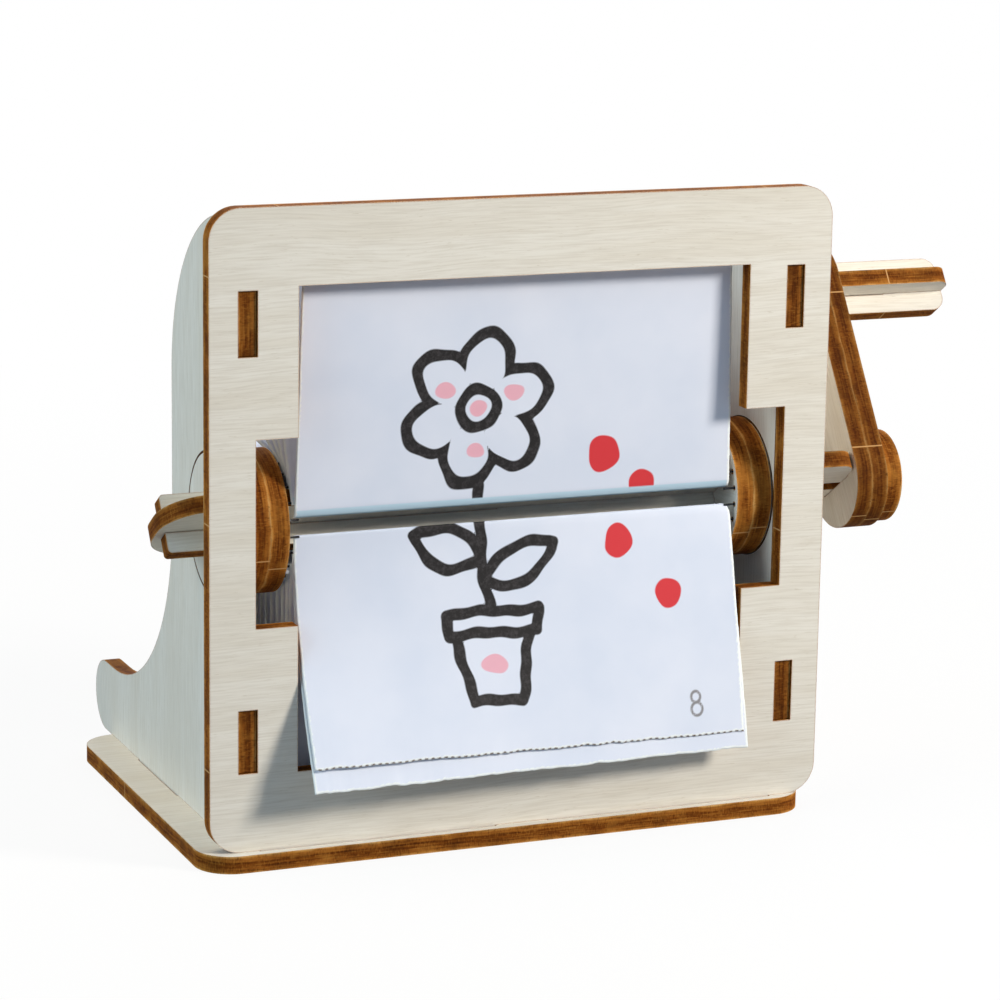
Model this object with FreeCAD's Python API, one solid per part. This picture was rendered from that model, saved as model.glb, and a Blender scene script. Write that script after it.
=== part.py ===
"""Hand-cranked flip-book machine: a laser-cut plywood stand with a drum of flaps.

All sizes are in millimetres. The origin is the centre of the base plate's underside,
+X points to the crank's side, +Y to the back and +Z up. Shapes of the drum and crank are
drawn with the crank arm upright and then turned about the axle by drum_lean.
"""
import FreeCAD, Part
import os
from math import cos, radians, sin
from FreeCAD import Vector

# Plywood and card stock
ply = 2.8
hub_ply = 3.0
card_thickness = 0.25
slot_play = 0.3
tab_setback = 0.4

# Base plate
base_width = 103.0
base_depth = 71.5
base_corner = 6.0
deck_z = ply

# Front frame
frame_extra_width = 0.5
frame_height = 99.8
frame_corner = 5.0
frame_shift = 1.2
frame_setback = 1.8
frame_bar = 12.1
frame_side = 14.2
notch_side = 7.4
notch_height = 29.3
slot_side = 4.6
slot_height = 10.05
slot_from_end = 12.5
frame_tab_width = 39.0
frame_tab_from_side = 8.2

# Side panels
panel_height = 97.8
panel_back = 34.2
panel_top_radius = 28.0
panel_cutout_radius = 33.9
tail_height = 12.1
tail_end = 79.4
tail_radius = 6.0
panel_tab_start = 32.0
panel_tab_length = 21.4

# Axle and drum
axle_depth = 14.2
axle_height = 48.9
drum_lean = 33.5
hub_radius = 11.3
hub_side_gap = 0.3
bearing_radius = 11.2
running_gap = 0.1
slat_a_half = 9.0
slat_b_half = 4.8
slat_a_left_overhang = 9.25
slat_b_overhang = 7.9
slat_a_left_round = 7.5
slat_a_right_round = 3.0
slat_b_round = 0.6
cross_play = 0.1
axle_tab_half = 4.6

# Crank
arm_gap = 14.15
arm_length = 33.5
arm_radius = 8.3
cap_radius = 7.6
handle_length = 22.4
handle_a_half = 5.4
handle_b_half = 4.8
handle_round = 2.4
handle_tab_half = 3.2

# Flaps
flap_count = 24
flap_length = 37.0
flap_side_gap = 0.9
pivot_radius = 10.1
pivot_hole_radius = 0.4
flap_foot = 0.35
ear_half_height = 0.24
ear_length = 2.2
first_pivot_turn = 7.5
fan_flap_lean = 10.0
upper_flap_lean = 1.7
front_flap_lean = 14.5
second_flap_lean = 15.5

# Places worked out from the sizes above
frame_width = base_width + frame_extra_width
frame_left = -base_width / 2 + frame_shift
frame_right = frame_left + frame_width
frame_front = -base_depth / 2 + frame_setback
frame_back = frame_front + ply
axle_y = frame_front + axle_depth
axle_z = deck_z + axle_height
axle = Vector(0, axle_y, axle_z)
slot_width = ply + slot_play
left_panel_x = frame_left + slot_side + slot_play / 2
right_panel_x = frame_right - slot_side - slot_play / 2 - ply
left_hub_x = left_panel_x + ply + hub_side_gap
right_hub_x = right_panel_x - hub_side_gap
left_hub_face = left_hub_x + 2 * hub_ply
right_hub_face = right_hub_x - 2 * hub_ply
arm_x = right_panel_x + ply + arm_gap
cap_x = arm_x + 2 * ply
pivot_step = 360.0 / flap_count
round_end_play = 0.01
shortest_edge = 1e-6


def place_xz(y):
    """Return a map from (x, height) to a point on the upright plane at depth y."""
    return lambda u, v: Vector(u, y, v)


def place_xy(z):
    """Return a map from (x, depth) to a point on the level plane at height z."""
    return lambda u, v: Vector(u, v, z)


def place_yz(x):
    """Return a map from (depth, height) to a point on the upright plane at x."""
    return lambda u, v: Vector(x, u, v)


def rounded_wire(corners, place):
    """Return a closed wire through (u, v, radius) corners, each rounded by its radius."""
    joints = []
    count = len(corners)
    for i, (u, v, radius) in enumerate(corners):
        here = Vector(u, v, 0)
        before = (Vector(*corners[i - 1][:2], 0) - here).normalize()
        after = (Vector(*corners[(i + 1) % count][:2], 0) - here).normalize()
        if radius == 0:
            joints.append((here, None, here))
            continue
        half_turn = before.getAngle(after) / 2
        reach = radius / abs(sin(half_turn) / cos(half_turn))
        middle = (before + after).normalize()
        centre = here + middle * (radius / sin(half_turn))
        joints.append((here + before * reach, centre - middle * radius, here + after * reach))
    edges = []
    for i, (_, _, leave) in enumerate(joints):
        enter, via, out = joints[(i + 1) % count]
        if (enter - leave).Length > shortest_edge:
            edges.append(Part.LineSegment(place(leave.x, leave.y), place(enter.x, enter.y)).toShape())
        if via is not None:
            ends = [place(point.x, point.y) for point in (enter, via, out)]
            edges.append(Part.Arc(*ends).toShape())
    return Part.Wire(edges)


def plate(corners, place, normal, thickness):
    """Return a flat sheet of the given outline, thick along normal."""
    return Part.Face(rounded_wire(corners, place)).extrude(normal * thickness)


def rectangle(u0, u1, v0, v1, radius=0):
    """Return the four corners of a rectangle, each rounded by radius."""
    return [(u0, v0, radius), (u1, v0, radius), (u1, v1, radius), (u0, v1, radius)]


def block(x0, x1, y0, y1, z0, z1):
    """Return a box between two corners."""
    return Part.makeBox(x1 - x0, y1 - y0, z1 - z0, Vector(x0, y0, z0))


def disc(x, radius, thickness):
    """Return a round plate about the axle, from x towards +X."""
    return Part.makeCylinder(radius, thickness, Vector(x, axle_y, axle_z), Vector(1, 0, 0))


def cross_hole(x, thickness, y, z, half_a, half_b):
    """Return the cross-shaped cutter for two halved slats, across a plate at x."""
    half_ply = ply / 2 + cross_play
    level = block(x, x + thickness, y - half_a - cross_play, y + half_a + cross_play,
                  z - half_ply, z + half_ply)
    upright = block(x, x + thickness, y - half_ply, y + half_ply,
                    z - half_b - cross_play, z + half_b + cross_play)
    return level.fuse(upright)


def leaned(shape):
    """Return a drum or crank shape turned about the axle to its resting angle."""
    return shape.rotated(axle, Vector(1, 0, 0), -drum_lean)


def base_plate():
    """Rounded board with slots for the frame's two tabs and the two side panels."""
    outline = rectangle(-base_width / 2, base_width / 2, -base_depth / 2, base_depth / 2, base_corner)
    board = plate(outline, place_xy(0), Vector(0, 0, 1), deck_z)
    for x0, x1 in frame_tab_spans():
        board = board.cut(block(x0 - slot_play / 2, x1 + slot_play / 2,
                                frame_front - slot_play, frame_back + slot_play, 0, deck_z))
    for x in (left_panel_x, right_panel_x):
        start = frame_front + panel_tab_start
        board = board.cut(block(x - slot_play / 2, x + ply + slot_play / 2,
                                start - slot_play, start + panel_tab_length + slot_play, 0, deck_z))
    return board


def frame_tab_spans():
    """Return the x range of each of the frame's two bottom tabs."""
    left = frame_left + frame_tab_from_side
    right = frame_right - frame_tab_from_side
    return [(left, left + frame_tab_width), (right - frame_tab_width, right)]


def front_frame():
    """Rounded window frame with side notches for the hubs and slots for the side panels."""
    top = deck_z + frame_height
    middle = deck_z + frame_height / 2
    sheet = plate(rectangle(frame_left, frame_right, deck_z, top, frame_corner),
                  place_xz(frame_front), Vector(0, 1, 0), ply)
    window = block(frame_left + frame_side, frame_right - frame_side, frame_front, frame_back,
                   deck_z + frame_bar, top - frame_bar)
    notches = block(frame_left + notch_side, frame_right - notch_side, frame_front, frame_back,
                    middle - notch_height / 2, middle + notch_height / 2)
    sheet = sheet.cut(window).cut(notches)
    for x in (left_panel_x, right_panel_x):
        for low in (deck_z + slot_from_end, top - slot_from_end - slot_height):
            sheet = sheet.cut(block(x - slot_play / 2, x + ply + slot_play / 2, frame_front, frame_back,
                                    low, low + slot_height))
    for x0, x1 in frame_tab_spans():
        sheet = sheet.fuse(block(x0, x1, frame_front, frame_back, slot_play, deck_z))
    return sheet.removeSplitter()


def side_panel(x):
    """Upright with a round bearing hole, a hollowed back and a rounded tail."""
    top = deck_z + panel_height
    back = frame_front + panel_back
    tail = frame_front + tail_end
    outline = [(frame_back, deck_z, 0), (frame_back, top, 0), (back, top, panel_top_radius),
               (back, deck_z + tail_height, panel_cutout_radius),
               (tail, deck_z + tail_height, tail_radius), (tail, deck_z, tail_radius)]
    sheet = plate(outline, place_yz(x), Vector(1, 0, 0), ply)
    sheet = sheet.cut(disc(x, bearing_radius + running_gap, ply))
    tab_play = slot_play / 2
    for low in (deck_z + slot_from_end, deck_z + frame_height - slot_from_end - slot_height):
        sheet = sheet.fuse(block(x, x + ply, frame_front + tab_setback, frame_back,
                                 low + tab_play, low + slot_height - tab_play))
    start = frame_front + panel_tab_start
    sheet = sheet.fuse(block(x, x + ply, start, start + panel_tab_length, slot_play, deck_z))
    return sheet.removeSplitter()


def bearing_disc(x):
    """Round plate that turns in a side panel's hole and carries the crossed axle slats."""
    plain = disc(x, bearing_radius, ply)
    return leaned(plain.cut(cross_hole(x, ply, axle_y, axle_z, slat_a_half, slat_b_half)))


def hub_disc(x, with_pivots):
    """Round plate on the crossed slats, with or without the ring of flap pivot holes."""
    wheel = disc(x, hub_radius, hub_ply)
    wheel = wheel.cut(cross_hole(x, hub_ply, axle_y, axle_z, slat_a_half, slat_b_half))
    if with_pivots:
        for i in range(flap_count):
            turn = radians(first_pivot_turn + i * pivot_step)
            centre = Vector(x, axle_y - pivot_radius * cos(turn), axle_z + pivot_radius * sin(turn))
            wheel = wheel.cut(Part.makeCylinder(pivot_hole_radius, hub_ply, centre, Vector(1, 0, 0)))
    return leaned(wheel)


def wide_slat_outline(left, right, tab_end):
    """Return the wide slat's corners: rounded left end, shoulders at right and a tab beyond."""
    half = slat_a_half
    return [(left, -half, slat_a_left_round), (right, -half, slat_a_right_round), (right, -axle_tab_half, 0),
            (tab_end, -axle_tab_half, 0), (tab_end, axle_tab_half, 0), (right, axle_tab_half, 0),
            (right, half, slat_a_right_round), (left, half, slat_a_left_round)]


def level_slat(outline, y, z):
    """Return a sheet lying level, centred on the point (y, z)."""
    return plate(outline, lambda u, v: Vector(u, y + v, z - ply / 2), Vector(0, 0, 1), ply)


def upright_slat(outline, y, z):
    """Return a sheet standing upright, centred on the point (y, z)."""
    return plate(outline, lambda u, v: Vector(u, y - ply / 2, z + v), Vector(0, 1, 0), ply)


def halving(x0, x1, y, z):
    """Return the cutter for the slot in which one slat of a cross holds the other."""
    half_ply = ply / 2 + cross_play
    return block(x0, x1, y - half_ply, y + half_ply, z - half_ply, z + half_ply)


def axle_slats():
    """Return the wide and the narrow slat of the axle, slotted together at mid length."""
    tab_end = cap_x - cross_play
    left = left_panel_x - slat_b_overhang
    right = right_panel_x + ply + slat_b_overhang
    middle = (left_hub_face + right_hub_face) / 2
    wide = level_slat(wide_slat_outline(left_panel_x - slat_a_left_overhang, arm_x, tab_end), axle_y, axle_z)
    narrow = upright_slat(rectangle(left, right, -slat_b_half, slat_b_half, slat_b_round), axle_y, axle_z)
    wide = wide.cut(halving(middle, tab_end, axle_y, axle_z))
    narrow = narrow.cut(halving(left, middle, axle_y, axle_z))
    return leaned(wide), leaned(narrow)


def crank_arm(x):
    """Straight arm with round ends, a slot for the axle's tab and a cross for the handle's."""
    top = axle_z + arm_length
    outline = rectangle(axle_y - arm_radius, axle_y + arm_radius, axle_z - arm_radius, top + arm_radius,
                        arm_radius - round_end_play)
    arm = plate(outline, place_yz(x), Vector(1, 0, 0), ply)
    half_ply = ply / 2 + cross_play
    arm = arm.cut(block(x, x + ply, axle_y - axle_tab_half - cross_play, axle_y + axle_tab_half + cross_play,
                        axle_z - half_ply, axle_z + half_ply))
    arm = arm.cut(cross_hole(x, ply, axle_y, top, handle_tab_half, handle_tab_half))
    return leaned(arm)


def crank_cap():
    """Small plain disc that covers the ends of the axle slats."""
    return leaned(disc(cap_x, cap_radius, hub_ply))


def handle_slats():
    """Return the level and the upright slat of the crank handle."""
    z = axle_z + arm_length
    end = cap_x + handle_length
    middle = (cap_x + end) / 2
    slats = []
    for make, half in ((level_slat, handle_a_half), (upright_slat, handle_b_half)):
        outline = [(arm_x, -handle_tab_half, 0), (cap_x, -handle_tab_half, 0), (cap_x, -half, 0),
                   (end, -half, handle_round), (end, half, handle_round), (cap_x, half, 0),
                   (cap_x, handle_tab_half, 0), (arm_x, handle_tab_half, 0)]
        slats.append(make(outline, axle_y, z))
    level = slats[0].cut(halving(middle, end, axle_y, z))
    upright = slats[1].cut(halving(arm_x, middle, axle_y, z))
    return leaned(level), leaned(upright)


def flap_rest_angle(number, turn):
    """Return the direction of a flap in degrees: 0 is forward, 90 up, 180 back and 270 down."""
    if number == 1:
        return 270 + front_flap_lean
    if number == 2:
        return 270 + second_flap_lean
    if number == flap_count:
        return 90 - upper_flap_lean
    return min(turn + 90 + pivot_step / 2 - fan_flap_lean, 270)


def flap(number):
    """Card with two small ears that pivot in the hub discs, laid at its resting angle.

    Number 1 hangs in front, the highest number stands behind the frame's top bar, and the
    others rest on the pivot behind them or hang straight down.
    """
    turn = drum_lean + first_pivot_turn - pivot_step * (number + 2)
    turn_from_front = turn % 360
    y = axle_y - pivot_radius * cos(radians(turn_from_front))
    z = axle_z + pivot_radius * sin(radians(turn_from_front))
    left = left_hub_face + flap_side_gap
    right = right_hub_face - flap_side_gap
    ears = ear_half_height
    ear_left = left_hub_face - ear_length
    ear_right = right_hub_face + ear_length
    outline = [(left, -flap_foot, 0), (right, -flap_foot, 0), (right, -ears, 0), (ear_right, -ears, 0),
               (ear_right, ears, 0), (right, ears, 0), (right, flap_length, 0), (left, flap_length, 0),
               (left, ears, 0), (ear_left, ears, 0), (ear_left, -ears, 0), (left, -ears, 0)]
    front = y - card_thickness / 2
    card = plate(outline, lambda u, v: Vector(u, front, z + v), Vector(0, 1, 0), card_thickness)
    rest = flap_rest_angle(number, turn_from_front)
    return card.rotated(Vector(0, y, z), Vector(1, 0, 0), 90 - rest)


def all_pieces():
    """Return every piece of the machine by name."""
    wide, narrow = axle_slats()
    level, upright = handle_slats()
    pieces = {
        "base_plate": base_plate(),
        "front_frame": front_frame(),
        "left_side_panel": side_panel(left_panel_x),
        "right_side_panel": side_panel(right_panel_x),
        "left_bearing_disc": bearing_disc(left_panel_x),
        "right_bearing_disc": bearing_disc(right_panel_x),
        "left_hub_outer": hub_disc(left_hub_x, False),
        "left_hub_inner": hub_disc(left_hub_x + hub_ply, True),
        "right_hub_inner": hub_disc(right_hub_face, True),
        "right_hub_outer": hub_disc(right_hub_face + hub_ply, False),
        "axle_slat_wide": wide,
        "axle_slat_narrow": narrow,
        "crank_arm_inner": crank_arm(arm_x),
        "crank_arm_outer": crank_arm(arm_x + ply),
        "crank_cap": crank_cap(),
        "handle_slat_level": level,
        "handle_slat_upright": upright,
    }
    for number in range(1, flap_count + 1):
        pieces[f"flap_{number:02d}"] = flap(number)
    return pieces


os.makedirs("parts", exist_ok=True)
for name, shape in all_pieces().items():
    shape.exportStep(f"parts/{name}.step")
    print(name, round(shape.Volume, 1), shape.isValid(), len(shape.Solids))
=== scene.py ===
from math import cos, pi, radians, sin

import bpy
import numpy as np
from mathutils import Matrix


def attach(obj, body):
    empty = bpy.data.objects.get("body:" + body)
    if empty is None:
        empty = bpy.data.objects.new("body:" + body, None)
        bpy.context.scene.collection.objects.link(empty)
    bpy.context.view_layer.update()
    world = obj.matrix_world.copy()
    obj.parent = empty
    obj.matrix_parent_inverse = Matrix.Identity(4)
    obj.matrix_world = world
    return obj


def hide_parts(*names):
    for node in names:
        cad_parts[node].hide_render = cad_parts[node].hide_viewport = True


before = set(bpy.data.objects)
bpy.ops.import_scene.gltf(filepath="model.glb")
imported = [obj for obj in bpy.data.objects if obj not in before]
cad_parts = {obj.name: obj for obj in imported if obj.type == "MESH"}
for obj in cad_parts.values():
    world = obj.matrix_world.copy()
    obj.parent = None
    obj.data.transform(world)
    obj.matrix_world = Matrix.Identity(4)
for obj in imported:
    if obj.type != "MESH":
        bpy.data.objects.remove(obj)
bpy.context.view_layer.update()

mm = 0.001  # the pieces' lengths are written in millimetres and turned to metres with this


def linear(hexColour):
    # sRGB hex value to linear red, green and blue, with full alpha
    parts = [int(hexColour[i:i + 2], 16) / 255 for i in (1, 3, 5)]
    return tuple(p / 12.92 if p <= 0.04045 else ((p + 0.055) / 1.055) ** 2.4 for p in parts) + (1.0,)


def addNode(tree, kind, values):
    # a node with its properties set, and its inputs set to a value or linked to another node's output
    node = tree.nodes.new(kind)
    for key, value in values.items():
        if isinstance(value, bpy.types.NodeSocket):
            tree.links.new(value, node.inputs[key])
        elif isinstance(key, str) and key in node.bl_rna.properties:
            setattr(node, key, value)
        else:
            node.inputs[key].default_value = value
    return node


def rescale(tree, value, start, stop, low, high):
    # turns start..stop of a value into low..high, and holds it beyond them
    return addNode(tree, "ShaderNodeMapRange", {"Value": value, "From Min": start, "From Max": stop,
                                                "To Min": low, "To Max": high}).outputs[0]


def mixColours(tree, share, under, over):
    return addNode(tree, "ShaderNodeMix", {"data_type": "RGBA", 0: share, 6: under, 7: over}).outputs[2]


def mathNode(tree, operation, *terms):
    return addNode(tree, "ShaderNodeMath", {"operation": operation, **dict(enumerate(terms))}).outputs[0]


def vectorNode(tree, operation, first, second, output=0):
    node = addNode(tree, "ShaderNodeVectorMath", {"operation": operation, 0: first, 1: second})
    return node.outputs[output]


def noise(tree, place, scale, detail, roughness=0.5):
    return addNode(tree, "ShaderNodeTexNoise", {"Vector": place, "Scale": scale, "Detail": detail,
                                                "Roughness": roughness}).outputs[0]


def colourSteps(tree, value, steps):
    # a colour ramp through (place, hex colour) pairs
    ramp = addNode(tree, "ShaderNodeValToRGB", {0: value})
    elements = ramp.color_ramp.elements
    while len(elements) < len(steps):
        elements.new(0.5)
    for element, (place, colour) in zip(elements, steps):
        element.position = place
        element.color = linear(colour)
    return ramp.outputs[0]


def newMaterial(name):
    material = bpy.data.materials.new(name)
    material.use_nodes = True
    material.node_tree.nodes.clear()
    return material, material.node_tree


def nodePoints(name):
    # a CAD node's points, in metres
    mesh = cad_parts[name].data
    points = np.empty(len(mesh.vertices) * 3)
    mesh.vertices.foreach_get("co", points)
    return points.reshape(-1, 3)


# Basswood plywood, three plies, laser cut: cream faces with fine, slightly wavy grain, and walls
# that the beam has burnt brown. The core ply is end grain and chars darker than the middle of the
# outer plies, and a thin amber line shows where the wall meets each face.
plywoodLook = {
    "face": "#EFE9DE",
    "faceDark": "#D9D0C1",
    "figure": "#E7DFD1",
    "pore": "#C6B9A2",
    "scorch": "#AC6E34",
    "burnt": "#2E1103",
    "amber": "#C28236",
    "nick": "#C99A63",
    "edgeSteps": [(0.00, "#E0A760"), (0.06, "#C4823C"), (0.12, "#9F6023"), (0.31, "#905119"),
                  (0.36, "#743C0E"), (0.50, "#854812"), (0.64, "#703A0D"), (0.69, "#96561A"),
                  (0.88, "#A86829"), (0.94, "#C68742"), (1.00, "#E3AE69")],
    # noises: mm along the grain, across it and through the sheet, detail, roughness, offset
    "faceNoises": {"lines": (7.0, 0.30, 0.30, 2.0, 0.6, 0.0),
                   "figure": (55.0, 4.0, 4.0, 3.0, 0.5, 11.0),
                   "pores": (1.6, 0.15, 0.15, 1.0, 0.5, 23.0)},
    "wallNoises": {"wander": (2.5, 2.5, 9.0, 1.0, 0.5, 31.0),
                   "streaks": (7.0, 7.0, 0.28, 2.0, 0.6, 37.0),
                   "marks": (0.24, 0.24, 0.7, 2.0, 0.65, 43.0),
                   "blotches": (6.0, 6.0, 6.0, 3.0, 0.6, 57.0)},
    # layers: noise, its values where the tint starts and is full, the full tint's share, the tint
    "faceLayers": [("figure", 0.40, 0.66, 0.85, "figure"),
                   ("lines", 0.40, 0.70, 0.62, "faceDark"),
                   ("pores", 0.69, 0.76, 0.40, "pore")],
    "wallLayers": [("streaks", 0.50, 0.70, 0.55, "burnt"), ("streaks", 0.47, 0.32, 0.45, "amber"),
                   ("marks", 0.52, 0.72, 0.55, "burnt"), ("marks", 0.46, 0.30, 0.40, "amber"),
                   ("blotches", 0.50, 0.68, 0.45, "burnt"), ("blotches", 0.46, 0.32, 0.40, "amber")],
    "wave": 1.1,             # mm that the grain lines wander to the side
    "waveLength": 26.0,
    "pieceShift": 3.1,       # how far the noises move on from piece to piece
    "shiftSpread": (1.0, 1.7, 0.3),
    "plyWander": (0.3, 0.7, -0.05, 0.05),  # noise from and to, borders' shift as a share of the sheet
    "haloWidth": 0.34,
    "halo": (0.99, 0.80, 0.0, 0.75),       # normals' likeness where it starts and is full, its share
    "gapShadeHalf": 0.20,        # mm of painted shade, a dark line over the char of the cut, to each side of the bearing's gap
    "nickHalfWidth": 0.10,
    "nickBlur": (1.4, 0.8),  # its soft border's outer and inner radius over the half width
    "faceLimit": 0.7,        # likeness to the face's normal above which it is a face
    "faceRoughness": 0.62,
    "edgeRoughness": 0.78,
    "faceRelief": 0.02,
    "edgeRelief": 0.06,
    "reliefStrength": 0.6,
    "specular": 0.06,
}

# The drum and crank rest turned back about the axle by this angle, so the slats' faces do too.
drumLean = radians(33.5)
levelNormal = (0.0, sin(drumLean), cos(drumLean))
uprightNormal = (0.0, cos(drumLean), -sin(drumLean))
alongX, alongY, alongZ = (1.0, 0.0, 0.0), (0.0, 1.0, 0.0), (0.0, 0.0, 1.0)

# The round cut between a side panel and its bearing disc, in mm: the middle of the gap, along which a dark
# line of painted shade is drawn.
bearingGap = 0.1
discPoints = nodePoints("left_bearing_disc") / mm
discCentre = (discPoints.min(0) + discPoints.max(0)) / 2
discRadius = float(np.linalg.norm((discPoints - discCentre)[:, 1:], axis=1).max())
bearingShadeRing = {"centre": discCentre, "radius": discRadius + bearingGap / 2}

# node: (normal of its faces, direction of the face grain, how far its walls are burnt beyond the
# lightest ones, points in mm where small bridges were left)
panelNicks = [(0, -6, 100.6), (0, 20, 14.9)]
plywoodPieces = {
    "base_plate": (alongZ, alongX, 0, [(-51.5, 8, 0)]),
    "front_frame": (alongY, alongX, 0.08, [(-50.3, 0, 92.4), (-50.3, 0, 54.6), (-50.3, 0, 16.0),
                                           (45.8, 0, 47.0), (41.5, 0, 102.6), (-39.3, 0, 102.6)]),
    "left_side_panel": (alongX, alongZ, 0.3, panelNicks),
    "right_side_panel": (alongX, alongZ, 0.3, panelNicks),
    "left_bearing_disc": (alongX, alongZ, 0.3, []),
    "right_bearing_disc": (alongX, alongZ, 0.3, []),
    "left_hub_outer": (alongX, alongZ, 0.12, [(0, -30.28, 47.61)]),
    "left_hub_inner": (alongX, alongY, 0.12, [(0, -29.58, 46.14)]),
    "right_hub_inner": (alongX, alongY, 0.05, [(0, -29.56, 46.10)]),
    "right_hub_outer": (alongX, alongZ, 0.1, [(0, -29.95, 46.84)]),
    "axle_slat_wide": (levelNormal, alongX, 0.28, []),
    "axle_slat_narrow": (uprightNormal, alongX, 0.28, []),
    "crank_arm_inner": (alongX, levelNormal, 0.52, [(0, -10.17, 81.21), (0, -25.53, 58.0),
                                                    (0, -26.23, 46.51)]),
    "crank_arm_outer": (alongX, levelNormal, 0.48, [(0, -10.17, 81.21), (0, -25.53, 58.0),
                                                    (0, -25.40, 45.62)]),
    "crank_cap": (alongX, alongZ, 0, [(0, -25.48, 46.71)]),
    "handle_slat_level": (levelNormal, alongX, 0.15, [(78.8, -5.76, 82.62)]),
    "handle_slat_upright": (uprightNormal, alongX, 0.15, [(79.0, -3.91, 75.64)]),
}


def woodNoises(tree, place, patterns, shift, look):
    # noises stretched to real lengths along the grain, across it and through the sheet
    noises = {}
    for key, (length, width, depth, detail, roughness, offset) in patterns.items():
        onward, sideways, through = (spread * shift for spread in look["shiftSpread"])
        stretched = addNode(tree, "ShaderNodeMapping",
                            {"Vector": place, "Location": (onward + offset, sideways + offset, through),
                             "Scale": (1 / (length * mm), 1 / (width * mm), 1 / (depth * mm))})
        noises[key] = noise(tree, stretched.outputs[0], 1.0, detail, roughness)
    return noises


def tinted(tree, colour, noises, layers, look):
    # lays each layer's tint over a colour, by a share that follows the layer's noise
    for source, start, full, share, tint in layers:
        mask = rescale(tree, noises[source], start, full, 0.0, share)
        colour = mixColours(tree, mask, colour, linear(look[tint]))
    return colour


def distanceFrom(tree, flat, point, grain, across):
    # distance from a point given in mm, seen square to the sheet
    spot = np.array(point) * mm
    centre = (float(spot @ np.array(grain)), float(spot @ np.array(across)), 0.0)
    return vectorNode(tree, "DISTANCE", flat, centre, "Value")


def plywoodFace(tree, noises, gapShadeDistance, look):
    # figure, grain lines and pores, then an amber halo along the cut, where a rounded normal leaves
    # the true one, and along the bearing's gap a dark line of painted shade over the char of the cut
    colour = tinted(tree, linear(look["face"]), noises, look["faceLayers"], look)
    rounded = addNode(tree, "ShaderNodeBevel", {"samples": 4, "Radius": look["haloWidth"] * mm})
    surface = addNode(tree, "ShaderNodeNewGeometry", {})
    same = vectorNode(tree, "DOT_PRODUCT", rounded.outputs[0], surface.outputs["True Normal"], "Value")
    colour = mixColours(tree, rescale(tree, same, *look["halo"]), colour, linear(look["scorch"]))
    if gapShadeDistance is not None:
        # painted shade: a near-black band on both faces along the narrow bearing gap
        ring = mathNode(tree, "COMPARE", gapShadeDistance, bearingShadeRing["radius"] * mm, look["gapShadeHalf"] * mm)
        colour = mixColours(tree, ring, colour, linear(look["burnt"]))
    return colour


def plywoodWall(tree, through, noises, burn, nickDistances, look):
    # three plies through the thickness, dark lines along the wall, speckles of char and blotches of
    # darker and lighter char, then pale stubs where the piece was held in its sheet
    wander = rescale(tree, noises["wander"], *look["plyWander"])
    colour = colourSteps(tree, mathNode(tree, "ADD", through, wander), look["edgeSteps"])
    colour = tinted(tree, colour, noises, look["wallLayers"], look)
    colour = mixColours(tree, burn, colour, linear(look["burnt"]))
    outer, inner = (share * look["nickHalfWidth"] * mm for share in look["nickBlur"])
    for away in nickDistances:
        near = rescale(tree, away, outer, inner, 0.0, 1.0)
        colour = mixColours(tree, near, colour, linear(look["nick"]))
    return colour


def laserCutPlywood(name, normal, grain, burn, nicks, look, shift):
    # Faces and walls are told apart by the object-space normal: |normal . face normal| is 1 on a
    # face and 0 on a wall. Wood coordinates are (along the grain, across it, through the sheet).
    material, tree = newMaterial("basswood plywood, laser cut, " + name)
    across = tuple(np.cross(normal, grain))
    where = addNode(tree, "ShaderNodeTexCoord", {})
    onward, sideways, depth = (vectorNode(tree, "DOT_PRODUCT", where.outputs["Object"], axis, "Value")
                               for axis in (grain, across, normal))
    straight = addNode(tree, "ShaderNodeCombineXYZ", {0: onward, 1: sideways, 2: depth}).outputs[0]
    flat = addNode(tree, "ShaderNodeCombineXYZ", {0: onward, 1: sideways}).outputs[0]
    drift = noise(tree, where.outputs["Object"], 1 / (look["waveLength"] * mm), 1.0)
    drift = rescale(tree, drift, 0.0, 1.0, -look["wave"] * mm, look["wave"] * mm)
    drift = addNode(tree, "ShaderNodeCombineXYZ", {1: drift}).outputs[0]
    wavy = vectorNode(tree, "ADD", straight, drift)
    facing = vectorNode(tree, "DOT_PRODUCT", where.outputs["Normal"], normal, "Value")
    isFace = mathNode(tree, "GREATER_THAN", mathNode(tree, "ABSOLUTE", facing), look["faceLimit"])

    faceNoises = woodNoises(tree, wavy, look["faceNoises"], shift, look)
    wallNoises = woodNoises(tree, straight, look["wallNoises"], shift, look)
    gapShadeDistance = None
    if name.endswith(("side_panel", "bearing_disc")):
        gapShadeDistance = distanceFrom(tree, flat, bearingShadeRing["centre"], grain, across)
    face = plywoodFace(tree, faceNoises, gapShadeDistance, look)
    heights = nodePoints(name) @ np.array(normal)
    through = rescale(tree, depth, float(heights.min()), float(heights.max()), 0.0, 1.0)
    nickDistances = [distanceFrom(tree, flat, point, grain, across) for point in nicks]
    wall = plywoodWall(tree, through, wallNoises, burn, nickDistances, look)

    relief = addNode(tree, "ShaderNodeMix", {"data_type": "FLOAT", 0: isFace, 2: wallNoises["marks"],
                                             3: faceNoises["lines"]}).outputs[0]
    height = rescale(tree, isFace, 0.0, 1.0, look["edgeRelief"] * mm, look["faceRelief"] * mm)
    bump = addNode(tree, "ShaderNodeBump", {"Strength": look["reliefStrength"], "Height": relief,
                                            "Distance": height})
    roughness = rescale(tree, isFace, 0.0, 1.0, look["edgeRoughness"], look["faceRoughness"])
    shader = addNode(tree, "ShaderNodeBsdfPrincipled",
                     {"Base Color": mixColours(tree, isFace, wall, face), "Roughness": roughness,
                      "IOR": 1.5, "Specular IOR Level": look["specular"], "Normal": bump.outputs[0]})
    addNode(tree, "ShaderNodeOutputMaterial", {"Surface": shader.outputs[0]})
    return material


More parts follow.
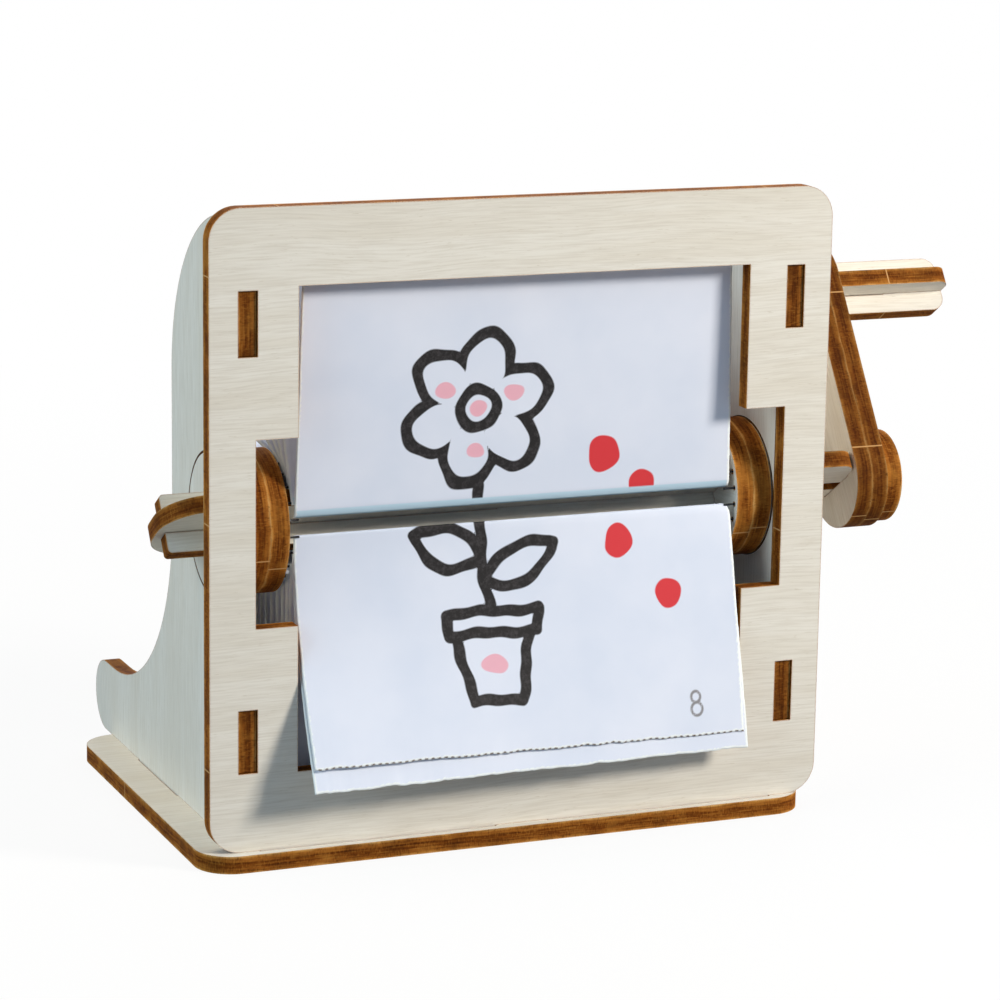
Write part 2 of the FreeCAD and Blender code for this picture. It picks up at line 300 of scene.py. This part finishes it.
for number, (name, (normal, grain, burn, nicks)) in enumerate(plywoodPieces.items()):
    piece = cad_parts[name]
    shift = plywoodLook["pieceShift"] * number
    piece.data.materials.clear()
    piece.data.materials.append(laserCutPlywood(name, normal, grain, burn, nicks, plywoodLook, shift))
print("plywood pieces finished:", len(plywoodPieces))


# A potted flower with falling berries, drawn with a round marker. The picture is as wide as a card
# and two cards high: X runs right and Y up from the split between the cards, both in mm.
pictureLook = {
    "flowerCentre": (-7.0, 17.0),
    "petals": 6,
    "petalTurn": 0.32,       # radians
    "petalReach": 6.9,
    "petalSize": (5.2, 4.1),
    "eye": 3.0,
    "marker": 0.90,          # half the line's width
    "wobble": (0.22, 0.12),  # the marker's slow and quick wobble
    "stem": [(-7.0, 6.2), (-6.1, 1.0), (-6.6, -6.0), (-5.2, -14.5)],
    "leaves": [((-6.4, -7.0), (-17.5, -2.6), 3.1), ((-5.7, -10.5), (5.8, -5.4), 2.9)],
    "potRim": [(-13.0, -15.2), (2.6, -15.2), (2.2, -18.6), (-12.5, -18.6)],
    "potBody": [(-11.3, -18.6), (-9.4, -29.2), (-1.2, -29.2), (1.0, -18.6)],
    "blush": [(-7.0, 17.0, 1.4, 1.3), (-5.2, -23.6, 2.2, 1.5), (-12.6, 20.4, 1.7, 1.3),
              (-1.0, 19.6, 1.7, 1.3), (-7.2, 10.2, 1.5, 1.2)],
    "berries": [(14.6, 8.6, 2.7), (21.5, 3.1, 2.3), (17.0, -6.2, 2.4), (25.0, -14.8, 2.2)],
    "berryHeight": 1.12,     # a berry's height over its width
    "leanFrom": -15.0,       # the plant sways from here up
    "leanOver": 32.0,
    "swayStep": 0.35,        # mm that its head moves from page to page
    "swayPages": 5,
    "pageNumber": (28.6, -32.6),
    "numberSize": 0.9,
    "numberLine": 0.22,
    "numberLoops": [(-0.10, 1.15, 0.88, 0.98), (0.0, -1.02, 1.06, 1.16)],
    "splitGap": 1.35,        # mm from the picture's split to a card's pivots
    "printStops": 1.2,       # mm of bare card at the hinge of the upper half, painted a darker blue as the shade of its curl
}
farAway = 1e3  # mm, further than anything in the picture


def lineDistance(x, y, points):
    # least distance from each (x, y) to the open polyline through points
    best = np.full(x.shape, farAway)
    for (x0, y0), (x1, y1) in zip(points[:-1], points[1:]):
        dx, dy = x1 - x0, y1 - y0
        share = np.clip(((x - x0) * dx + (y - y0) * dy) / max(dx * dx + dy * dy, 1e-9), 0, 1)
        best = np.minimum(best, np.hypot(x - x0 - share * dx, y - y0 - share * dy))
    return best


def ovalDistance(x, y, cx, cy, rx, ry):
    # signed distance to an ellipse, taken as (|p / r| - 1) times the mean radius
    return (np.hypot((x - cx) / rx, (y - cy) / ry) - 1) * 0.5 * (rx + ry)


def smoothLine(points, count=24):
    # a quadratic B-spline through the middles of a polyline's runs, with its own ends kept
    p = np.array(points, float)
    knots = np.vstack([p[:1], (p[:-1] + p[1:]) / 2, p[-1:]])
    t = np.linspace(0, 1, count)[:, None]
    runs = [(1 - t) ** 2 * a + 2 * t * (1 - t) * b + t ** 2 * c
            for a, b, c in zip(knots[:-1], [p[0], *p[1:-1], p[-1]], knots[1:])]
    return np.vstack(runs)


def leafLine(start, end, belly, count=20):
    # closed outline of a leaf: its long line plus and minus belly * sin(pi t) ^ 0.8 to the side
    a, b = np.array(start), np.array(end)
    t = np.linspace(0, 1, count)
    side = np.array([-(b - a)[1], (b - a)[0]]) / np.linalg.norm(b - a)
    middle = a + t[:, None] * (b - a)
    swell = belly * np.sin(pi * t)[:, None] ** 0.8
    return np.vstack([middle + side * swell, (middle - side * swell)[::-1]])


def drawPicture(x, y, look, sway):
    # signed distances in mm to the black, pink, red and grey parts of the picture: below 0 is ink.
    # sway moves the flower's head to the side from page to page, as a flip book does. The marker's
    # wobble adds a slow and a quick sine, with their turns in radians per mm.
    slow, quick = look["wobble"]
    wobbleX = x + slow * np.sin(0.55 * y + 1.0) + quick * np.sin(1.4 * y + 0.4 * x)
    wobbleY = y + slow * np.sin(0.50 * x + 2.0) + quick * np.sin(1.3 * x - 0.5 * y)
    px = wobbleX - sway * np.clip((wobbleY - look["leanFrom"]) / look["leanOver"], 0, 1.3)
    py = wobbleY
    cx, cy = look["flowerCentre"]
    eye = ovalDistance(px, py, cx, cy, look["eye"], look["eye"])
    head = eye
    for k in range(look["petals"]):
        turn = 2 * pi * k / look["petals"] + look["petalTurn"]
        along = (px - cx) * cos(turn) + (py - cy) * sin(turn) - look["petalReach"]
        aside = (py - cy) * cos(turn) - (px - cx) * sin(turn)
        head = np.minimum(head, ovalDistance(along, aside, 0, 0, *look["petalSize"]))
    stem = np.where(head < 0, farAway, lineDistance(px, py, smoothLine(look["stem"])))
    black = np.minimum(np.minimum(abs(head), abs(eye)), stem)
    for start, end, belly in look["leaves"]:
        black = np.minimum(black, lineDistance(px, py, leafLine(start, end, belly)))
    for outline in (look["potRim"], look["potBody"]):
        black = np.minimum(black, lineDistance(px, py, outline + outline[:1]))
    pink = red = grey = np.full(x.shape, farAway)
    for bx, by, rx, ry in look["blush"]:
        pink = np.minimum(pink, ovalDistance(px, py, bx, by, rx, ry))
    for bx, by, radius in look["berries"]:
        berry = ovalDistance(wobbleX, wobbleY, bx, by + sway, radius, radius * look["berryHeight"])
        red = np.minimum(red, berry)
    nx, ny = look["pageNumber"]
    size = look["numberSize"]
    for right, up, rx, ry in look["numberLoops"]:
        loop = ovalDistance(x, y, nx + right * size, ny + up * size, rx * size, ry * size)
        grey = np.minimum(grey, abs(loop))
    return black - look["marker"], pink, red, grey - look["numberLine"]


# Coated art card, offset printed: smooth, faintly glossy and bluish white, with soft white fibres
# along its torn edges. The ink masks are distances stored on the points, so their edges stay sharp.
cardLook = {
    "paper": "#E6EAF7",
    "mottle": "#DEE4F3",
    "mottleSize": 14.0,      # mm
    "mottleMask": (0.35, 0.65, 0.0, 1.0),  # noise from and to, share from and to
    "black": "#171415",
    "blackWorn": "#464244",
    "wornSize": 0.9,
    "wornMask": (0.45, 0.75, 0.0, 0.7),
    # footCurlShade is painted shade: the bare, curled foot of the upper half in a darker blue
    "inks": [("pinkInk", "#F0B4C2"), ("redInk", "#DB3A40"), ("greyInk", "#8C898C"), ("blackInk", None),
             ("footCurlShade", "#C6E0F0"), ("tornEdge", "#F4F8F8"), ("cutDashes", "#6A5648")],
    "inkSoftness": 0.10,
    "toothSize": 0.25,
    "toothDepth": 0.01,
    "toothStrength": 0.25,
    "roughness": 0.36,
    "specular": 0.22,
    "coat": 0.06,
    "coatRoughness": 0.18,
}


def coatedCard(look):
    material, tree = newMaterial("coated art card, offset printed")
    place = addNode(tree, "ShaderNodeTexCoord", {}).outputs["Object"]
    cloud = noise(tree, place, 1 / (look["mottleSize"] * mm), 3.0)
    tooth = noise(tree, place, 1 / (look["toothSize"] * mm), 2.0)
    streaks = noise(tree, place, 1 / (look["wornSize"] * mm), 3.0, 0.7)
    worn = rescale(tree, streaks, *look["wornMask"])
    blackInk = mixColours(tree, worn, linear(look["black"]), linear(look["blackWorn"]))
    mottled = rescale(tree, cloud, *look["mottleMask"])
    colour = mixColours(tree, mottled, linear(look["paper"]), linear(look["mottle"]))
    soft = look["inkSoftness"]
    for attribute, ink in look["inks"]:
        distance = addNode(tree, "ShaderNodeAttribute", {"attribute_name": attribute}).outputs["Fac"]
        mask = rescale(tree, distance, soft, -soft, 0.0, 1.0)
        colour = mixColours(tree, mask, colour, linear(ink) if ink else blackInk)
    bump = addNode(tree, "ShaderNodeBump", {"Strength": look["toothStrength"], "Height": tooth,
                                            "Distance": look["toothDepth"] * mm})
    card = addNode(tree, "ShaderNodeBsdfPrincipled",
                   {"Base Color": colour, "Roughness": look["roughness"], "IOR": 1.5,
                    "Specular IOR Level": look["specular"], "Coat Weight": look["coat"],
                    "Coat Roughness": look["coatRoughness"], "Normal": bump.outputs[0]})
    addNode(tree, "ShaderNodeOutputMaterial", {"Surface": card.outputs[0]})
    return material


cardShape = {
    "thickness": 0.25,
    "fineStep": 0.30,        # mm between points on the cards whose picture is seen
    "plainStep": 1.0,
    "raggedSide": 0.07,
    "raggedTip": 0.20,
    "raggedNoise": [(2.4, 0.55), (0.9, 0.3), (0.4, 0.25)],  # mm between its points, share
    "bowPower": 0.75,        # below 1 the bow is fullest nearer the foot
    "tipPower": 6,           # the ragged tip fades out towards the foot by this power
    "cornerPower": 12,       # and the foot's round corner towards the tip by this one
    "curlReach": 1.6,
    "fibreWidth": 0.35,
    "fibreSpread": (0.6, 0.8),  # least share of that width, and how much chance adds
    "dash": 1.1,             # mm from one dash of the cutting blade to the next
    "dashInset": 0.22,
    "dashHalf": 0.3,
    "earHalf": 0.16,
    "earThickness": 0.96,    # share of the card's thickness
    "earRoot": 1.0,          # mm that an ear reaches into its card
}
noInk = 5.0     # mm, outside every mark
earShadeInk = -1.0  # mm, well inside a mark: the ears get this in black ink, as painted shade

# How the cards that show differ from flat, all in mm: bow is the swell of the left and right edges
# out of the card's plane, turn is how far the left and right ends of the tip stand forward of it,
# inset is what each side loses at the foot and at the tip, shorter the length lost to tearing at
# the left and right, curl the foot's bend, foot how far the card reaches past its pivots, corner
# the radius of the foot's right corner, and dashed marks a tip edge cut by a dashed blade.
flatCard = {"bow": (0.0, 0.0), "turn": (0.0, 0.0), "inset": ((0.0, 0.0), (0.0, 0.0)),
            "shorter": (0.0, 0.0), "curl": 0.0, "foot": 0.35, "corner": 0.0, "dashed": False}
cardBends = {
    "flap_01": dict(flatCard, bow=(-1.8, 0.15), turn=(1.2, -0.93), inset=((0.1, 0.15), (0.1, 0.3)),
                    shorter=(1.2, 0.5), curl=0.15, foot=0.25, corner=1.3, dashed=True),
    "flap_02": dict(flatCard, bow=(-1.8, 0.3), turn=(1.6, -0.75), inset=((0.1, -0.1), (0.1, -0.4)),
                    shorter=(-0.1, 0.3)),
    "flap_24": dict(flatCard, turn=(0.25, -0.4), inset=((0.25, 0.95), (0.09, 1.05)), curl=0.55,
                    foot=-0.25),
}


def cardPlace(name):
    # a CAD card's pivot, its direction from pivot to tip, its length and its sides, in mm
    points = nodePoints(name) / mm
    endBand, tipBand = 0.01, 0.3
    x = points[:, 0]
    ears = points[(x > x.max() - endBand) | (x < x.min() + endBand)]
    pivot = ears[:, 1:].mean(0)
    away = np.linalg.norm(points[:, 1:] - pivot, axis=1)
    tip = points[away > away.max() - tipBand]
    reach = tip[:, 1:].mean(0) - pivot
    length = float(np.linalg.norm(reach))
    direction = reach / length
    outward = np.array([-direction[1], direction[0]])  # normal of the side that shows the upper half
    return {"pivot": pivot, "direction": direction, "outward": outward, "length": length,
            "left": float(tip[:, 0].min()), "right": float(tip[:, 0].max()),
            "earLeft": float(ears[:, 0].min()), "earRight": float(ears[:, 0].max())}


def roughLine(t, amount, shape, random):
    # uneven line of a torn edge: noises of falling spacing and strength, added
    line = np.zeros_like(t)
    for spacing, share in shape["raggedNoise"]:
        knots = np.arange(t.min() - spacing, t.max() + 2 * spacing, spacing)
        line += share * np.interp(t, knots, random.uniform(-1, 1, len(knots)))
    return amount * line


def cardSheet(place, bends, step, shape, random):
    # A card is a grid over u, from its left to its right side, and v, from its foot to its tip, both
    # in mm. Its middle surface is pivot + direction * v + outward * swell(u, v).
    pivot, direction, outward, length = (place[key] for key in ("pivot", "direction", "outward", "length"))
    columns = int(round((place["right"] - place["left"]) / step)) + 1
    rows = int(round((length + bends["foot"]) / step)) + 1
    u, v = np.meshgrid(np.linspace(0, 1, columns), np.linspace(-bends["foot"], length, rows))
    share = np.clip(v / length, 0, 1)
    (leftFoot, leftTip), (rightFoot, rightTip) = bends["inset"]
    leftEdge = place["left"] + leftFoot + (leftTip - leftFoot) * share
    leftEdge = leftEdge + roughLine(v[:, 0], shape["raggedSide"], shape, random)[:, None]
    rightEdge = place["right"] - rightFoot - (rightTip - rightFoot) * share
    rightEdge = rightEdge + roughLine(v[:, 0], shape["raggedSide"], shape, random)[:, None]
    x = leftEdge + (rightEdge - leftEdge) * u
    lost, bow, turn = (bends[key][0] * (1 - u) + bends[key][1] * u for key in ("shorter", "bow", "turn"))
    ragged = roughLine(x[-1], shape["raggedTip"], shape, random)[None, :]
    v = v - lost * share + ragged * share ** shape["tipPower"]
    radius = bends["corner"]
    past = np.clip(radius - (rightEdge - x), 0, radius)
    v = v + (radius - np.sqrt(radius ** 2 - past ** 2)) * (1 - share) ** shape["cornerPower"]
    hang = 1 if direction[1] < 0 else -1  # +1 when the card hangs down
    forward = bow * np.sin(pi * share ** shape["bowPower"]) + turn * share ** 2
    curl = bends["curl"] * np.clip(1 - (v + bends["foot"]) / shape["curlReach"], 0, 1) ** 2
    swell = hang * (curl - forward)
    middle = np.stack([x, pivot[0] + direction[0] * v + outward[0] * swell,
                       pivot[1] + direction[1] * v + outward[1] * swell], -1)
    return x, v, leftEdge, rightEdge, middle


def thickSheet(middle, thickness):
    # a grid's two faces, half the thickness to each side of it, closed by a rim of quads
    rows, columns = middle.shape[:2]
    side = np.cross(np.gradient(middle, axis=1), np.gradient(middle, axis=0))
    side /= np.linalg.norm(side, axis=-1, keepdims=True)
    half = thickness / 2
    points = np.stack([middle + side * half, middle - side * half]).reshape(-1, 3)
    index = np.arange(rows * columns).reshape(rows, columns)
    quads = np.stack([index[:-1, :-1], index[:-1, 1:], index[1:, 1:], index[1:, :-1]], -1).reshape(-1, 4)
    lower = quads[:, ::-1] + rows * columns
    ring = np.concatenate([index[0], index[1:, -1], index[-1, -2::-1], index[-2:0:-1, 0]])
    following = np.roll(ring, -1)
    rim = np.stack([following, ring, ring + rows * columns, following + rows * columns], -1)
    return points, np.concatenate([quads, lower, rim])


def addEars(points, faces, place, shape):
    # two slim bars along the pivot line, from inside the card into the hub discs: box corners at
    # x + direction * j + outward * k, with j and k at half the bar's width and thickness
    box = np.array([[i, j, k] for i in (0, 1) for j in (-1, 1) for k in (-1, 1)], float)
    walls = np.array([[0, 1, 3, 2], [4, 6, 7, 5], [0, 4, 5, 1], [2, 3, 7, 6], [0, 2, 6, 4], [1, 5, 7, 3]])
    width = place["direction"] * shape["earHalf"]
    depth = place["outward"] * shape["thickness"] / 2 * shape["earThickness"]
    for near, far in ((place["earLeft"], place["left"] + shape["earRoot"]),
                      (place["right"] - shape["earRoot"], place["earRight"])):
        bar = np.empty((8, 3))
        bar[:, 0] = near + (far - near) * box[:, 0]
        bar[:, 1:] = place["pivot"] + box[:, 1:2] * width + box[:, 2:3] * depth
        faces = np.concatenate([faces, walls + len(points)])
        points = np.concatenate([points, bar])
    return points, faces


def cardInk(x, v, leftEdge, rightEdge, place, bends, shape, look, sway, random):
    # distances in mm to each mark on the side that shows the upper half and on the other side
    middleX = (place["left"] + place["right"]) / 2
    fromSplit = v + look["splitGap"]
    upper = drawPicture(x - middleX, fromSplit, look, sway)
    lower = drawPicture(x - middleX, -fromSplit, look, sway + look["swayStep"])
    toTip = v.max(0)[None, :] - v
    border = np.minimum(np.minimum(x - leftEdge, rightEdge - x), toTip)
    least, spread = shape["fibreSpread"]
    torn = border - shape["fibreWidth"] * (least + spread * random.random(x.shape))
    # painted shade: the bare strip at the foot takes a darker blue, for the shade of its curl
    bare = v + bends["foot"] - look["printStops"]
    none = np.full(x.shape, noInk)
    dashes = none
    if bends["dashed"]:
        fromDash = abs((x / shape["dash"]) % 1 - 0.5) * shape["dash"]
        dashes = np.maximum(toTip - shape["dashInset"], fromDash - shape["dashHalf"])
    layers = dict(zip(("blackInk", "pinkInk", "redInk", "greyInk"), zip(upper, lower)))
    return {**layers, "footCurlShade": (bare, none), "tornEdge": (torn, torn), "cutDashes": (none, dashes)}


def makeCard(name, bends, step, shape, look, material, sway, seed):
    # the sheet, its ears, painted black as the shade they sit in within the hubs, and its print as point
    # attributes
    random = np.random.default_rng(seed)
    place = cardPlace(name)
    x, v, leftEdge, rightEdge, middle = cardSheet(place, bends, step, shape, random)
    points, faces = thickSheet(middle, shape["thickness"])
    points, faces = addEars(points, faces, place, shape)
    mesh = bpy.data.meshes.new(name + "_card")
    mesh.from_pydata((points * mm).tolist(), [], faces.tolist())
    mesh.update()
    marks = cardInk(x, v, leftEdge, rightEdge, place, bends, shape, look, sway, random)
    for mark, (front, back) in marks.items():
        # the ears' points keep this value in black ink: painted shade, as they stand in the hubs' dark
        values = np.full(len(points), earShadeInk if mark == "blackInk" else noInk, np.float32)
        values[:2 * x.size] = np.concatenate([front.ravel(), back.ravel()])
        mesh.attributes.new(mark, "FLOAT", "POINT").data.foreach_set("value", values)
    mesh.shade_smooth()
    card = bpy.data.objects.new(name + "_card", mesh)
    bpy.context.scene.collection.objects.link(card)
    card.data.materials.append(material)
    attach(card, "front_flap" if name == "flap_01" else "stand")
    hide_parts(name)


firstSeed = 40
cardMaterial = coatedCard(cardLook)
cardNames = sorted(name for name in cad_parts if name.startswith("flap_"))
for count, name in enumerate(cardNames):
    step = cardShape["fineStep"] if name in cardBends else cardShape["plainStep"]
    page = 0 if name in ("flap_01", "flap_24") else count % pictureLook["swayPages"]
    makeCard(name, cardBends.get(name, flatCard), step, cardShape, pictureLook, cardMaterial,
             pictureLook["swayStep"] * page, firstSeed + count)
print("cards made:", len(cardNames))


# The stage's lengths are in metres.
stageLook = {
    "floorSize": 12.0,
    "floor": "#F4F4F2",
    "floorBounce": "#8E9092",   # its colour for bounced light, so that undersides stay dark
    "whiteNear": 0.90,          # share of plain white that the camera sees on the floor by the object
    "whiteFrom": 0.10,
    "whiteTo": 0.40,
    "key": {"towards": (1.16, -1.0, 0.74), "distance": 0.85, "size": 0.18, "power": 7.4, "colour": "#FFF9EE"},
    "fill": {"towards": (-1.0, -0.12, 0.45), "distance": 0.9, "size": 0.7, "power": 4.5, "colour": "#DFF6FF"},
    "top": {"towards": (-0.25, 0.25, 1.0), "distance": 0.9, "size": 0.5, "power": 2.5, "colour": "#FFDDA8"},
    "back": {"towards": (0.45, 1.0, 0.5), "distance": 1.0, "size": 0.6, "power": 3.2, "colour": "#F4F8FF"},
    "sky": "#A9D0FB",
    "skyStrength": 0.24,
    "target": (0.0, -0.02, 0.05),
}


def seenPlainly(tree):
    # 1 for what the camera sees, straight or by way of gloss or glass, and 0 for bounced light
    ray = addNode(tree, "ShaderNodeLightPath", {})
    seen = mathNode(tree, "MAXIMUM", ray.outputs["Is Camera Ray"], ray.outputs["Is Glossy Ray"])
    return mathNode(tree, "MAXIMUM", seen, ray.outputs["Is Transmission Ray"])


def makeFloor(look):
    # a square sheet at the height of the base's underside; to the camera it turns white away from
    # the object, and near it keeps a soft shadow
    half = look["floorSize"] / 2
    mesh = bpy.data.meshes.new("floor")
    corners = [(-half, -half, 0), (half, -half, 0), (half, half, 0), (-half, half, 0)]
    mesh.from_pydata(corners, [], [(0, 1, 2, 3)])
    floor = bpy.data.objects.new("floor", mesh)
    bpy.context.scene.collection.objects.link(floor)
    material, tree = newMaterial("matt white studio paper")
    where = addNode(tree, "ShaderNodeTexCoord", {})
    away = addNode(tree, "ShaderNodeVectorMath", {"operation": "LENGTH", 0: where.outputs["Object"]})
    white = addNode(tree, "ShaderNodeMapRange",
                    {"interpolation_type": "SMOOTHSTEP", "Value": away.outputs["Value"],
                     "From Min": look["whiteFrom"], "From Max": look["whiteTo"], "To Min": look["whiteNear"]})
    seen = seenPlainly(tree)
    share = mathNode(tree, "MULTIPLY", white.outputs[0], seen)
    shade = mixColours(tree, seen, linear(look["floorBounce"]), linear(look["floor"]))
    paper = addNode(tree, "ShaderNodeBsdfDiffuse", {"Color": shade})
    glow = addNode(tree, "ShaderNodeEmission", {"Color": linear("#FFFFFF"), "Strength": 1.0})
    both = addNode(tree, "ShaderNodeMixShader", {0: share, 1: paper.outputs[0], 2: glow.outputs[0]})
    addNode(tree, "ShaderNodeOutputMaterial", {"Surface": both.outputs[0]})
    mesh.materials.append(material)


def makeLamp(name, lamp, target):
    # a square soft box that faces the target
    light = bpy.data.lights.new(name, "AREA")
    light.size = lamp["size"]
    light.energy = lamp["power"]
    light.color = linear(lamp["colour"])[:3]
    towards = np.array(lamp["towards"]) / np.linalg.norm(lamp["towards"])
    holder = bpy.data.objects.new(name, light)
    bpy.context.scene.collection.objects.link(holder)
    aside = np.cross((0, 0, 1), towards)
    aside /= np.linalg.norm(aside)
    axes = np.column_stack([aside, np.cross(towards, aside), towards])
    place = np.array(target) + towards * lamp["distance"]
    holder.matrix_world = Matrix.Translation(place.tolist()) @ Matrix(axes.tolist()).to_4x4()


def makeSky(look):
    # the colour that lights the object, and plain white where the camera sees past the floor
    world = bpy.data.worlds.new("studio")
    world.use_nodes = True
    tree = world.node_tree
    tree.nodes.clear()
    soft = addNode(tree, "ShaderNodeBackground", {"Color": linear(look["sky"]),
                                                  "Strength": look["skyStrength"]})
    plain = addNode(tree, "ShaderNodeBackground", {"Color": linear("#FFFFFF"), "Strength": 1.0})
    both = addNode(tree, "ShaderNodeMixShader", {0: seenPlainly(tree), 1: soft.outputs[0],
                                                 2: plain.outputs[0]})
    addNode(tree, "ShaderNodeOutputWorld", {"Surface": both.outputs[0]})
    bpy.context.scene.world = world


# The lens axis is at the middle of the image, so that other views keep the object in the middle too.
photoCamera = {
    "place": (-0.21124, -0.53820, 0.17458),
    "yaw": 0.39148,          # radians to the right of +Y
    "pitch": 0.21500,        # radians down
    "roll": 0.01517,
    "focalPixels": 3600.1,
    "imageSide": 1000.0,
    "sensor": 36.0,
    "nearest": 0.01,
}


def makeCamera(look):
    # forward, right and up from yaw, pitch and roll
    yaw, pitch, roll = look["yaw"], look["pitch"], look["roll"]
    forward = np.array([sin(yaw) * cos(pitch), cos(yaw) * cos(pitch), -sin(pitch)])
    right = np.array([cos(yaw), -sin(yaw), 0.0])
    up = np.cross(right, forward)
    axes = np.column_stack([cos(roll) * right + sin(roll) * up, cos(roll) * up - sin(roll) * right, -forward])
    lens = bpy.data.cameras.new("photoCamera")
    lens.sensor_width = look["sensor"]
    lens.lens = look["focalPixels"] * look["sensor"] / look["imageSide"]
    lens.clip_start = look["nearest"]
    camera = bpy.data.objects.new("photoCamera", lens)
    bpy.context.scene.collection.objects.link(camera)
    camera.matrix_world = Matrix.Translation(look["place"]) @ Matrix(axes.tolist()).to_4x4()
    bpy.context.scene.camera = camera


makeFloor(stageLook)
for lampName in ("key", "fill", "top", "back"):
    makeLamp(lampName, stageLook[lampName], stageLook["target"])
makeSky(stageLook)
makeCamera(photoCamera)
bpy.context.scene.view_settings.view_transform = "Standard"
print("stage, lamps and camera set")
